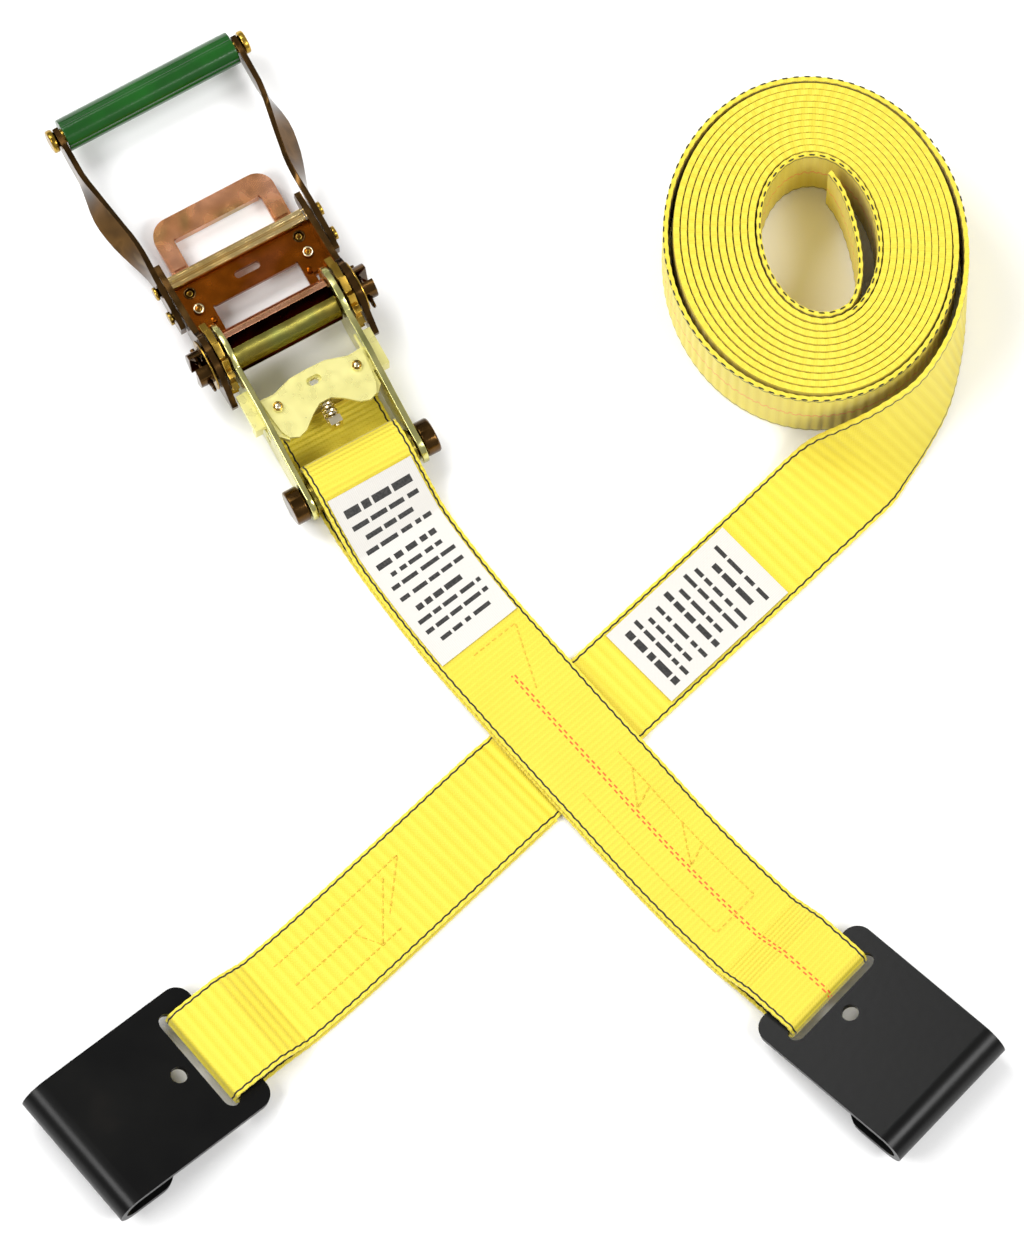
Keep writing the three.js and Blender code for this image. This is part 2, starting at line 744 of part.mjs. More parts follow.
// ---- Flat hooks ----
const SLOT_NEAR = 6.5;
const SLOT_FAR = 14.6;
const BEND_U = 74;
const BEND_R = 10.5;
const LIP_TIP = 46.5;
function flatHook() {
  const half = HOOK_WIDTH / 2;
  const outline = roundedRect(-6.5, BEND_U + 20, -half, half, 8);
  outline.holes.push(roundedRect(SLOT_NEAR, SLOT_FAR, -27, 27, 4.6));
  const plate = common(
    plateZ(outline, -HOOK_PLATE / 2, HOOK_PLATE / 2, 6),
    box(-10, BEND_U + 0.01, -half, half, -5, 5),
  );
  const middle = HOOK_PLATE / 2 - BEND_R;
  const bendShape = shapeOf([
    ...arc(BEND_U, middle, BEND_R, -90, 90, 14),
    ...arc(BEND_U, middle, BEND_R - HOOK_PLATE, 90, -90, 14),
  ]);
  const bend = webOf(bendShape, HOOK_WIDTH);
  const lipLow = middle - BEND_R;
  const lip = common(
    plateZ(roundedRect(LIP_TIP, BEND_U + 20, -half, half, 11), lipLow, lipLow + HOOK_PLATE, 6),
    box(0, BEND_U + 0.01, -half, half, -40, 0),
  );
  const whole = join(plate, bend, lip);
  return cut(whole, rodZ(4, -5, 5, SLOT_FAR + 8, 0, 20));
}
function addHook(name, at) {
  const hook = new THREE.Group();
  hook.position.set(at.x, at.y, HOOK_BAR_Z);
  hook.rotation.set(0, degrees(-HOOK_TILT), at.heading, "ZYX");
  root.add(hook);
  add(hook, name, flatHook(), BLACK);
}
addHook("short_hook", shortCourse(SHORT_LENGTH));
const longStart = longCourse(0);
addHook("long_hook", { ...longStart, heading: longStart.heading + Math.PI });

// Stands the middle of the whole part's box over the origin, on the floor.
const extent = new THREE.Box3().setFromObject(root, true);
const middle = extent.getCenter(new THREE.Vector3());
root.position.set(-middle.x, -middle.y, -extent.min.z);

export default root;
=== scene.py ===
"""Ratchet strap: a long-handled ratchet buckle with a fixed strap, a coiled strap and two flat hooks."""
import json
import math

import bpy
import numpy as np
from bpy.props import FloatProperty, FloatVectorProperty, PointerProperty
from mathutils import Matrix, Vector


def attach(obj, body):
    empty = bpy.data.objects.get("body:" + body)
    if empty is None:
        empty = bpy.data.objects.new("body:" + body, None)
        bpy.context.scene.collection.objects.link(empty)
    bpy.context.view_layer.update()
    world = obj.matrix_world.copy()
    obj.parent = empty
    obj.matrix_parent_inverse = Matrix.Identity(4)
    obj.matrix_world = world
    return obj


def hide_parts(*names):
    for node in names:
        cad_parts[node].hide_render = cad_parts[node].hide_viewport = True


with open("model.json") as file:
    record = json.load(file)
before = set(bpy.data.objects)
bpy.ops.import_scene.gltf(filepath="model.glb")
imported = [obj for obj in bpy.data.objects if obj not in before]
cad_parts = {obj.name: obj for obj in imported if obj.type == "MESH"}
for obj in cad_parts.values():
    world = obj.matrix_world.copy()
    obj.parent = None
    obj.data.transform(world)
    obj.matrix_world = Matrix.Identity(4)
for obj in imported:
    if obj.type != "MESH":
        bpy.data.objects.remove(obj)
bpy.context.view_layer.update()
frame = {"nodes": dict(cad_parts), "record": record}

bl_info = {
    "name": "Ratchet strap",
    "version": (1, 0, 0),
    "blender": (4, 5, 0),
    "location": "View3D > Sidebar > Strap",
    "description": "Builds a two-inch ratchet strap on its packed CAD frame",
    "category": "Object",
}

MM = 0.001
TURN = 2 * math.pi
# Distance between the scallops that the edge threads pull into the webbing's edges.
SCALLOP = 0.0051
# Across the webbing: where it starts to thin, the dark thread, and the edge.
COLUMNS = [-0.0246, -0.0236, -0.0205, -0.012, -0.004, 0.004, 0.012, 0.0205, 0.0236, 0.0246]
# Runs along the long strap where its outermost turn ends and its innermost turn starts.
COIL_OUTER_RUN = 1.17
COIL_INNER_RUN = 4.73
# A run past the end of either strap.
BEYOND = 9.0
MATERIALS = {}


def linear(value):
    """A colour given as an sRGB hex number, as linear RGBA."""
    channels = [((value >> shift) & 255) / 255 for shift in (16, 8, 0)]
    return tuple(c / 12.92 if c <= 0.04045 else ((c + 0.055) / 1.055) ** 2.4 for c in channels) + (1.0,)


class StrapSizes(bpy.types.PropertyGroup):
    """Sizes of the strap that the looks depend on."""

    web_width: FloatProperty(
        name="Webbing width", description="Width of the flat webbing", default=0.0492, unit="LENGTH"
    )
    web_thick: FloatProperty(
        name="Webbing thickness", description="Thickness of one layer", default=0.0023, unit="LENGTH"
    )
    coil_thick: FloatProperty(
        name="Thickness in the coil", description="Thickness of one wound layer", default=0.00325,
        unit="LENGTH",
    )
    coil_pitch: FloatProperty(
        name="Coil pitch", description="Distance between turns", default=0.0032, unit="LENGTH"
    )
    rib_pitch: FloatProperty(
        name="Rib pitch", description="Distance between the long strap's ribs", default=0.0051, unit="LENGTH"
    )
    short_rib_pitch: FloatProperty(
        name="Short strap rib pitch", description="Distance between the short strap's ribs", default=0.0026,
        unit="LENGTH",
    )
    rib_height: FloatProperty(
        name="Rib height", description="Height of a rib", default=0.00016, unit="LENGTH"
    )
    stitch_length: FloatProperty(
        name="Stitch length", description="Length of one seam stitch", default=0.0032, unit="LENGTH"
    )
    edge_bevel: FloatProperty(
        name="Edge rounding", description="Rounding of pressed metal edges", default=0.0006, unit="LENGTH"
    )


class StrapColours(bpy.types.PropertyGroup):
    """Colours a user would change."""

    webbing: FloatVectorProperty(
        name="Webbing", description="Webbing colour", subtype="COLOR", size=4, default=linear(0xF0E24A)
    )
    tracer: FloatVectorProperty(
        name="Edge thread", description="Dark thread near the edges", subtype="COLOR", size=4,
        default=linear(0x15130A),
    )
    marker: FloatVectorProperty(
        name="Centre thread", description="Orange centre thread", subtype="COLOR", size=4,
        default=linear(0xF0641E),
    )
    grip: FloatVectorProperty(
        name="Grip", description="Grip colour", subtype="COLOR", size=4, default=linear(0x0E5E0E)
    )


# ---- Materials ----


def node(tree, kind, inputs=None, links=None, **settings):
    """Adds a node, sets its settings and input values, and links sockets to its inputs."""
    made = tree.nodes.new(kind)
    for name, value in settings.items():
        setattr(made, name, value)
    for key, value in (inputs or {}).items():
        made.inputs[key].default_value = value
    for key, socket in (links or {}).items():
        tree.links.new(socket, made.inputs[key])
    return made


def material(name, metallic=0.0, roughness=0.5, colour=0xFFFFFF):
    """A material with its shader, named for its real finish."""
    made = bpy.data.materials.new(name)
    made.use_nodes = True
    shader = made.node_tree.nodes["Principled BSDF"]
    shader.inputs["Metallic"].default_value = metallic
    shader.inputs["Roughness"].default_value = roughness
    shader.inputs["Base Color"].default_value = linear(colour)
    return made, made.node_tree, shader


def ramp(tree, source, stops):
    """A colour ramp over hex colours."""
    made = node(tree, "ShaderNodeValToRGB", links={"Fac": source})
    band = made.color_ramp
    while len(band.elements) < len(stops):
        band.elements.new(0.5)
    for element, (place, value) in zip(band.elements, stops):
        element.position = place
        element.color = linear(value)
    return made.outputs["Color"]


def maths(tree, operation, a, b=None, c=None, clamp=False):
    """One Math node; each operand is a number or a socket."""
    made = node(tree, "ShaderNodeMath", operation=operation, use_clamp=clamp)
    for i, operand in enumerate((a, b, c)):
        if operand is None:
            continue
        if isinstance(operand, (int, float)):
            made.inputs[i].default_value = operand
        else:
            tree.links.new(operand, made.inputs[i])
    return made.outputs[0]


def object_place(tree):
    """Place in the object's own coordinates."""
    return node(tree, "ShaderNodeTexCoord").outputs["Object"]


def noise(tree, place, scale, detail, **inputs):
    """Soft noise, 0 to 1, with so many clouds to a metre."""
    inputs = {"Scale": scale, "Detail": detail, **inputs}
    return node(tree, "ShaderNodeTexNoise", inputs, {"Vector": place}).outputs["Fac"]


def bumped(tree, shader, height, strength, distance):
    """Relief on the shader from a height socket."""
    inputs = {"Strength": strength, "Distance": distance}
    relief = node(tree, "ShaderNodeBump", inputs, {"Height": height})
    tree.links.new(relief.outputs["Normal"], shader.inputs["Normal"])


def plated(name, stops, roughness=0.3, tint_mm=22, metallic=1.0):
    """Zinc plate with a chromate film: colour drifts in soft clouds, with shallow tumbling marks."""
    made, tree, shader = material(name, metallic, roughness)
    place = object_place(tree)
    cloud = noise(tree, place, 1000 / tint_mm, 1.5, Distortion=0.4)
    tree.links.new(ramp(tree, cloud, stops), shader.inputs["Base Color"])
    marks = noise(tree, place, 160.0, 1.0)
    rough = node(
        tree,
        "ShaderNodeMapRange",
        {"From Min": 0.3, "From Max": 0.7, "To Min": roughness - 0.05, "To Max": roughness + 0.06},
        {"Value": marks},
    )
    tree.links.new(rough.outputs["Result"], shader.inputs["Roughness"])
    bumped(tree, shader, marks, 0.05, 0.0004)
    return made


def mixed(tree, factor, a, b):
    """Two colours, each a socket or a linear colour, mixed by a factor."""
    made = node(tree, "ShaderNodeMix", data_type="RGBA")
    tree.links.new(factor, made.inputs["Factor"])
    for key, colour in (("A", a), ("B", b)):
        if isinstance(colour, tuple):
            made.inputs[key].default_value = colour
        else:
            tree.links.new(colour, made.inputs[key])
    return made.outputs["Result"]


def strip_place(tree):
    """The run along a strip and the place across it, in metres, from its own map."""
    woven = node(tree, "ShaderNodeUVMap", uv_map="Strip").outputs["UV"]
    split = node(tree, "ShaderNodeSeparateXYZ", links={"Vector": woven})
    return split.outputs["X"], split.outputs["Y"]


def wave(tree, place, length):
    """A sine of so many metres from crest to crest."""
    return maths(tree, "SINE", maths(tree, "MULTIPLY", place, TURN / length))


def edge_thread(tree, u, v, rim_runs):
    """Mask of the dark threads near both edges, away from the hidden turns between the two runs."""
    shift = maths(tree, "MULTIPLY", wave(tree, u, SCALLOP), 0.00018)
    side = maths(tree, "ADD", maths(tree, "ABSOLUTE", v), shift)
    line = maths(tree, "ABSOLUTE", maths(tree, "SUBTRACT", side, 0.0230))
    outer = maths(tree, "LESS_THAN", u, rim_runs[0])
    inner = maths(tree, "GREATER_THAN", u, rim_runs[1])
    shown = maths(tree, "ADD", outer, inner, clamp=True)
    return maths(tree, "MULTIPLY", maths(tree, "LESS_THAN", line, 0.00042), shown)


def centre_thread(tree, u, v, runs):
    """Mask of two rows of orange dashes along the middle, between two runs."""
    masks = []
    for offset, phase in ((0.00075, 0.0), (-0.00075, 0.5)):
        near = maths(tree, "ABSOLUTE", maths(tree, "SUBTRACT", v, offset))
        row = maths(tree, "LESS_THAN", near, 0.0004)
        step = maths(tree, "FRACT", maths(tree, "MULTIPLY_ADD", u, 1 / 0.0038, phase))
        masks.append(maths(tree, "MULTIPLY", row, maths(tree, "LESS_THAN", step, 0.55)))
    mask = maths(tree, "ADD", masks[0], masks[1], clamp=True)
    mask = maths(tree, "MULTIPLY", mask, maths(tree, "GREATER_THAN", u, runs[0]))
    return maths(tree, "MULTIPLY", mask, maths(tree, "LESS_THAN", u, runs[1]))


def webbing_material(name, colours, pitch, rib_painted_shade, orange_runs, rim_runs):
    """Woven polyester webbing: low cross ribs, a fine weave, dark edge threads and a dashed orange centre,
    with painted shade in the rib and weave troughs.
    """
    made, tree, shader = material(name, 0.0, 0.62)
    shader.inputs["Sheen Weight"].default_value = 0.25
    shader.inputs["Sheen Roughness"].default_value = 0.4
    u, v = strip_place(tree)
    rib = maths(tree, "MULTIPLY_ADD", wave(tree, u, pitch), 0.5, 0.5)
    # Warp threads run along the strap, 1.6 mm apart, wide enough to show.
    warp = wave(tree, v, 0.0016)
    weave = maths(tree, "MULTIPLY", warp, wave(tree, u, 0.00125))
    height = maths(tree, "MULTIPLY_ADD", weave, 0.16, rib)
    height = maths(tree, "MULTIPLY_ADD", warp, 0.07, height)
    bumped(tree, shader, height, 0.55, 0.0006)
    cloud = noise(tree, object_place(tree), 26.0, 3.0)
    # The colour mixes random tone from the cloud with painted shade: darker in the rib troughs and between
    # the woven threads, where the bump is low.
    shade = maths(tree, "MULTIPLY_ADD", cloud, 0.35, maths(tree, "MULTIPLY", rib, rib_painted_shade))
    shade = maths(tree, "MULTIPLY_ADD", weave, 0.10, shade)
    colour = mixed(tree, shade, linear(0xDCC630), tuple(colours.webbing))
    colour = mixed(tree, edge_thread(tree, u, v, rim_runs), colour, tuple(colours.tracer))
    colour = mixed(tree, centre_thread(tree, u, v, orange_runs), colour, tuple(colours.marker))
    tree.links.new(colour, shader.inputs["Base Color"])
    return made


def black_coating():
    """Cathodic dip coating: deep black, satin, a little orange peel."""
    made, tree, shader = material("black_dip_coating", 0.0, 0.34, 0x060605)
    shader.inputs["Specular IOR Level"].default_value = 0.22
    place = object_place(tree)
    wear = noise(tree, place, 30.0, 5.0)
    colour = ramp(tree, wear, [(0.35, 0x020202), (0.62, 0x050504), (0.8, 0x0E0B08)])
    tree.links.new(colour, shader.inputs["Base Color"])
    bumped(tree, shader, noise(tree, place, 260.0, 2.0), 0.12, 0.0003)
    rough = node(tree, "ShaderNodeMapRange", {"To Min": 0.24, "To Max": 0.42}, {"Value": wear})
    tree.links.new(rough.outputs["Result"], shader.inputs["Roughness"])
    return made


def grip_plastic(colours):
    """Moulded soft PVC: glossy, dark green, faint flow marks."""
    made, tree, shader = material("green_moulded_pvc", 0.0, 0.16)
    place = object_place(tree)
    cloud = noise(tree, place, 60.0, 3.0)
    tree.links.new(mixed(tree, cloud, linear(0x042C05), tuple(colours.grip)), shader.inputs["Base Color"])
    bumped(tree, shader, noise(tree, place, 700.0, 2.0), 0.1, 0.0002)
    return made


def label_cloth():
    """Off-white woven satin, with its threads 0.9 mm apart and painted shade between them so that they show.
    """
    made, tree, shader = material("white_label_satin", 0.0, 0.55, 0xF4F1EC)
    u, v = strip_place(tree)
    threads = wave(tree, v, 0.0009)
    bumped(tree, shader, maths(tree, "MULTIPLY", wave(tree, u, 0.0009), threads), 0.35, 0.0001)
    # The stripes are painted shade between the threads, darker where the bump is low.
    shade = maths(tree, "MULTIPLY_ADD", threads, 0.25, 0.5)
    tree.links.new(mixed(tree, shade, linear(0xCFCBC4), linear(0xDDDAD4)), shader.inputs["Base Color"])
    return made


def fibrous(name, roughness, scale, stops):
    """Ink or thread: one colour that varies from fibre to fibre."""
    made, tree, shader = material(name, 0.0, roughness)
    fibre = noise(tree, object_place(tree), scale, 2.0)
    tree.links.new(ramp(tree, fibre, stops), shader.inputs["Base Color"])
    return made


def plated_finishes():
    """The chromate films, from the palest to the darkest, and the bright zinc of the spring."""
    # Pale yellow film: soft metal, nearly white in the light.
    MATERIALS["zinc"] = plated(
        "yellow_zinc_pale",
        [(0.25, 0xE2DC8C), (0.5, 0xF4EC9C), (0.7, 0xECE490), (0.85, 0xDDE49C)],
        0.3,
        40,
        0.6,
    )
    # Greener, duller film on the side plates.
    MATERIALS["olive"] = plated(
        "yellow_zinc_green", [(0.25, 0xA8A868), (0.5, 0xD6D08A), (0.7, 0xC4C47C), (0.85, 0xE0D8A0)], 0.2, 30
    )
    # Heavier film, gold to olive, on the drum and the bolt's sleeve.
    MATERIALS["bronze"] = plated(
        "yellow_zinc_olive", [(0.25, 0x6A5A20), (0.45, 0x94863C), (0.62, 0x8A8A46), (0.8, 0xA8843C)], 0.22
    )
    # Golden film on wheels, washers, rivets and the grip's rod.
    MATERIALS["gold"] = plated(
        "yellow_zinc_gold", [(0.25, 0x7A5C1C), (0.5, 0xB8963E), (0.7, 0x9A7E3C), (0.85, 0xD0BE84)], 0.2
    )
    # Polished gold film, even in colour, on the long bead.
    MATERIALS["brass"] = plated("yellow_zinc_brass", [(0.3, 0xCCA658), (0.7, 0xF6DEA6)], 0.12, 60)
    # Deep orange film on the pressed handle plate.
    MATERIALS["copper"] = plated(
        "yellow_zinc_orange",
        [(0.2, 0x5A2C08), (0.4, 0x8A480E), (0.55, 0x7C3E0A), (0.7, 0x96502A), (0.85, 0x8A5C24)],
        0.22,
        40,
    )
    # Rose and green film on the finger pull and one half of the drum.
    MATERIALS["rose"] = plated(
        "yellow_zinc_rose",
        [
            (0.2, 0x6A8A58), (0.32, 0xA08A50), (0.44, 0xC88A5C),
            (0.6, 0xDCA07E), (0.76, 0xB47A48), (0.9, 0x84A070),
        ],
        0.24,
        34,
    )
    # Dark film, umber to brass, on arms and bolt heads; also used as painted shade on the handle's side walls
    # and the drum's ends.
    MATERIALS["umber"] = plated(
        "yellow_zinc_umber",
        [(0.25, 0x34240E), (0.5, 0x5C4222), (0.68, 0x46321A), (0.85, 0x8A7450)],
        0.15,
        16,
    )
    # Painted shade: the same film, made dark brown and given a dark brown reflection tint, inside the drum's
    # slot and the screw holes.
    MATERIALS["dark"] = plated("yellow_zinc_painted_recess_shade", [(0.3, 0x3A2208), (0.6, 0x5A3810)], 0.3)
    shader = MATERIALS["dark"].node_tree.nodes["Principled BSDF"]
    shader.inputs["Specular Tint"].default_value = linear(0x7A5428)
    # Bright zinc without a film, on the pawl's spring, rod and seat.
    MATERIALS["steel"] = plated(
        "bright_zinc_steel", [(0.25, 0xB8A878), (0.5, 0xF0E4C4), (0.75, 0xD8C898)], 0.2
    )


def make_materials(scene):
    """Makes every finish once."""
    colours, sizes = scene.strap_colours, scene.strap_sizes
    plated_finishes()
    MATERIALS["black"] = black_coating()
    MATERIALS["pvc"] = grip_plastic(colours)
    MATERIALS["label"] = label_cloth()
    MATERIALS["ink"] = fibrous("label_ink", 0.6, 900.0, [(0.35, 0x141312), (0.7, 0x383634)])
    # Bonded polyester thread: ochre seams, and a dark one on the coil's rims.
    MATERIALS["thread"] = fibrous("ochre_sewing_thread", 0.5, 1200.0, [(0.3, 0xD9A21C), (0.7, 0xF2CB45)])
    MATERIALS["dark_thread"] = fibrous("dark_edge_thread", 0.5, 1200.0, [(0.3, 0x12110C), (0.7, 0x2A2818)])
    MATERIALS["web_short"] = webbing_material(
        "polyester_webbing_short", colours, sizes.short_rib_pitch, 0.22, (0.348, 0.588), (BEYOND, BEYOND)
    )
    shown_rims = (COIL_OUTER_RUN, COIL_INNER_RUN)
    MATERIALS["web_long"] = webbing_material(
        "polyester_webbing_long", colours, sizes.rib_pitch, 0.3, (0.80, BEYOND), shown_rims
    )


# ---- Shaping ----


def deselect():
    """Nothing selected, nothing active in edit mode."""
    if bpy.context.object and bpy.context.object.mode != "OBJECT":
        bpy.ops.object.mode_set(mode="OBJECT")
    bpy.ops.object.select_all(action="DESELECT")


def activate(piece):
    """Selects one piece alone and makes it active."""
    deselect()
    piece.select_set(True)
    bpy.context.view_layer.objects.active = piece


def apply_modifiers(piece):
    """Applies the piece's modifiers in order."""
    activate(piece)
    for modifier in list(piece.modifiers):
        bpy.ops.object.modifier_apply(modifier=modifier.name)


def smooth(piece, angle=38):
    """Smooth shading, with edges sharper than the angle kept sharp."""
    activate(piece)
    bpy.ops.object.shade_smooth_by_angle(angle=math.radians(angle))


def pressed(node_name, finish, bevel=None, segments=2, angle=38):
    """A CAD node's own shape, merged, its sharp edges rounded as a press or a tumbler leaves them."""
    source = frame["nodes"][node_name]
    mesh = source.data.copy()
    piece = bpy.data.objects.new("look_" + node_name, mesh)
    bpy.context.scene.collection.objects.link(piece)
    activate(piece)
    bpy.ops.object.mode_set(mode="EDIT")
    bpy.ops.mesh.select_all(action="SELECT")
    bpy.ops.mesh.remove_doubles(threshold=1e-5)
    bpy.ops.mesh.dissolve_limited(angle_limit=math.radians(1.5))
    bpy.ops.mesh.normals_make_consistent(inside=False)
    bpy.ops.object.mode_set(mode="OBJECT")
    width = bpy.context.scene.strap_sizes.edge_bevel if bevel is None else bevel
    if width:
        rounding = piece.modifiers.new("rounding", "BEVEL")
        rounding.width = width
        rounding.segments = segments
        rounding.limit_method = "ANGLE"
        rounding.angle_limit = math.radians(32)
        rounding.use_clamp_overlap = True
        rounding.harden_normals = False
        apply_modifiers(piece)
    mesh = piece.data
    mesh.materials.clear()
    mesh.materials.append(MATERIALS[finish])
    smooth(piece, angle)
    flat = piece.modifiers.new("even_faces", "WEIGHTED_NORMAL")
    flat.keep_sharp = True
    apply_modifiers(piece)
    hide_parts(node_name)
    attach(piece, body_of_node(node_name))
    return piece


def tint(piece, finish, chosen):
    """Gives another finish to the faces whose middle and normal, in the ratchet's own frame, are chosen."""
    mesh = piece.data
    mesh.materials.append(MATERIALS[finish])
    c, s = math.cos(RATCHET_TURN), math.sin(RATCHET_TURN)
    for face in mesh.polygons:
        at, normal = (face.center - RATCHET_AT) / MM, face.normal
        spot = Vector((c * at.x + s * at.y, -s * at.x + c * at.y, at.z))
        facing = Vector((c * normal.x + s * normal.y, -s * normal.x + c * normal.y, normal.z))
        if chosen(spot, facing):
            face.material_index = len(mesh.materials) - 1


def head(kind, place, radius, tube, finish):
    """One ring, or one dome flattened by a factor; lengths in millimetres."""
    deselect()
    if kind == "ring":
        bpy.ops.mesh.primitive_torus_add(
            major_radius=radius * MM, minor_radius=tube * MM, major_segments=28, minor_segments=10,
            location=place,
        )
    else:
        bpy.ops.mesh.primitive_uv_sphere_add(
            segments=24, ring_count=14, radius=radius * MM, location=place
        )
        bpy.context.object.scale = (1, 1, tube)
    bpy.ops.object.transform_apply(location=True, rotation=True, scale=True)
    made = bpy.context.object
    made.data.materials.append(MATERIALS[finish])
    return made


def stud(name, spots, body, parts):
    """Small round heads on a plate, the same parts at each place in the ratchet's own frame."""
    made = []
    for x, y, z in spots:
        for kind, radius, tube, height, finish in parts:
            place = ratchet_point(x * MM, y * MM, (z + height) * MM)
            made.append(head(kind, place, radius, tube, finish))
    deselect()
    for piece in made:
        piece.select_set(True)
    bpy.context.view_layer.objects.active = made[0]
    bpy.ops.object.join()
    piece = bpy.context.object
    piece.name = name
    smooth(piece, 60)
    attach(piece, body)
    return piece


def body_of_node(node_name):
    """The moving body that holds a CAD node."""
    for body, nodes in frame["record"]["behaviour"]["bodies"].items():
        if node_name in nodes:
            return body
    raise RuntimeError("no body holds " + node_name)


def smoothstep(t):
    t = min(1.0, max(0.0, t))
    return t * t * (3 - 2 * t)


def along(points, across, step):
    """Points and side vectors resampled at an even step along the line, with tangents and normals."""
    points, across = np.array(points), np.array(across)
    lengths = np.linalg.norm(np.diff(points, axis=0), axis=1)
    run = np.concatenate([[0], np.cumsum(lengths)])
    count = max(8, int(round(run[-1] / step)))
    even = np.linspace(0, run[-1], count + 1)
    p = np.stack([np.interp(even, run, points[:, k]) for k in range(3)], axis=1)
    w = np.stack([np.interp(even, run, across[:, k]) for k in range(3)], axis=1)
    w /= np.linalg.norm(w, axis=1)[:, None]
    t = np.gradient(p, axis=0)
    t /= np.linalg.norm(t, axis=1)[:, None]
    n = np.cross(t, w)
    n /= np.linalg.norm(n, axis=1)[:, None]
    return even, p, t, w, n


def strip(name, path, thick, finish, sizes, pitch, wound=(BEYOND, BEYOND), wound_thick=None):
    """A woven strip along a path: a grid bent along it with low ribs, given its thickness.

    Between the two runs in wound it lies in a coil: thicker, so that turns touch, and with flatter ribs.
    """
    columns = COLUMNS
    run, p, _, w, n = path
    rows = len(run) - 1
    deselect()
    bpy.ops.mesh.primitive_grid_add(x_subdivisions=rows, y_subdivisions=len(columns) - 1, size=1)
    piece = bpy.context.object
    piece.name = name
    mesh = piece.data
    mesh.name = name
    flat = np.empty(len(mesh.vertices) * 3)
    mesh.vertices.foreach_get("co", flat)
    flat = flat.reshape(-1, 3)
    i = np.rint((flat[:, 0] + 0.5) * rows).astype(int)
    j = np.rint((flat[:, 1] + 0.5) * (len(columns) - 1)).astype(int)
    v = np.array(columns)[j]
    u = run[i]
    inside = np.clip((u - wound[0]) / 0.03, 0, 1) * np.clip((wound[1] - u) / 0.03, 0, 1)
    lift = sizes.rib_height * (1 - 0.85 * inside) * np.sin(TURN * u / pitch)
    pull = 0.00012 * np.sin(TURN * u / SCALLOP + 1.3) * np.sign(v) * (np.abs(v) > 0.023)
    place = p[i] + w[i] * (v + pull)[:, None] + n[i] * lift[:, None]
    mesh.vertices.foreach_set("co", place.reshape(-1))
    for layer in list(mesh.uv_layers)[1:]:
        mesh.uv_layers.remove(layer)
    uv = mesh.uv_layers[0] if mesh.uv_layers else mesh.uv_layers.new()
    uv.name = "Strip"
    corners = np.empty(len(mesh.loops), dtype=int)
    mesh.loops.foreach_get("vertex_index", corners)
    uv.data.foreach_set("uv", np.stack([u[corners], v[corners]], axis=1).astype(np.float32).reshape(-1))
    mesh.update()
    shell = piece.modifiers.new("thickness", "SOLIDIFY")
    full = wound_thick or thick
    shell.thickness = full
    shell.offset = 0.0
    shell.use_even_offset = False
    group = piece.vertex_groups.new(name="thickness")
    shell.vertex_group = group.name
    weight = (thick + (full - thick) * inside) / full
    weight *= np.interp(np.abs(v), (0, 0.0205, 0.0236, 0.0246), (1, 1, 0.97, 0.84))
    weight *= 1 - 0.1 * inside * (np.abs(v) > 0.023) * (0.5 + 0.5 * np.sin(TURN * u / SCALLOP))
    weight = np.rint(weight * 200) / 200
    for value in np.unique(weight):
        group.add(np.flatnonzero(weight == value).tolist(), float(value), "REPLACE")
    apply_modifiers(piece)
    mesh = piece.data
    mesh.materials.clear()
    mesh.materials.append(MATERIALS[finish])
    smooth(piece, 50)
    return piece


def stitches(name, places, radius, finish):
    """One mesh of short plump stitches; each place is (middle, half length vector, normal)."""
    verts, faces = [], []
    for middle, half, up in places:
        middle, half, up = Vector(middle), Vector(half), Vector(up).normalized()
        side = half.normalized().cross(up)
        start = len(verts)
        verts.append(middle - half)
        for share in (-0.55, 0.55):
            for k in range(6):
                a = k * math.pi / 3
                ring = (side * math.cos(a) + up * math.sin(a)) * radius
                verts.append(middle + half * share + ring)
        verts.append(middle + half)
        for k in range(6):
            m = (k + 1) % 6
            faces.append((start, start + 1 + m, start + 1 + k))
            faces.append((start + 1 + k, start + 1 + m, start + 7 + m, start + 7 + k))
            faces.append((start + 7 + k, start + 7 + m, start + 13))
    mesh = bpy.data.meshes.new(name)
    mesh.from_pydata([tuple(x) for x in verts], [], faces)
    piece = bpy.data.objects.new(name, mesh)
    bpy.context.scene.collection.objects.link(piece)
    activate(piece)
    bpy.ops.object.mode_set(mode="EDIT")
    bpy.ops.mesh.select_all(action="SELECT")
    bpy.ops.mesh.normals_make_consistent(inside=False)
    bpy.ops.object.mode_set(mode="OBJECT")
    mesh.materials.append(MATERIALS[finish])
    smooth(piece, 60)
    return piece


# ---- Courses of the two straps, as the CAD lays them; lengths in metres ----
ORIGIN = Vector((-1.00602, 2.31588, 0.03413)) * MM
RATCHET_AT = Vector((-107.47, 139.13, 0)) * MM + ORIGIN
RATCHET_TURN = math.radians(28.7)
BOLT = (-0.081, 0.012)
SHORT_LENGTH = 0.317
LONG_LENGTH = 0.362
FLOOR_GAP = 0.0001
DOUBLE = 0.0049
HALF_LAYER = 0.00125
# The loop round a hook's bar: its middle line's radius, half its arc, and the bar's height.
LOOP_RADIUS = 0.0088
LOOP_HALF_ARC = 46
HOOK_BAR_Z = 0.0093
# Step of a strip's rows along its course.
ROW_STEP = 0.00125


def ratchet_point(x, y, z):
    """A point given in the ratchet's own frame."""
    c, s = math.cos(RATCHET_TURN), math.sin(RATCHET_TURN)
    return RATCHET_AT + Vector((c * x - s * y, s * x + c * y, z))


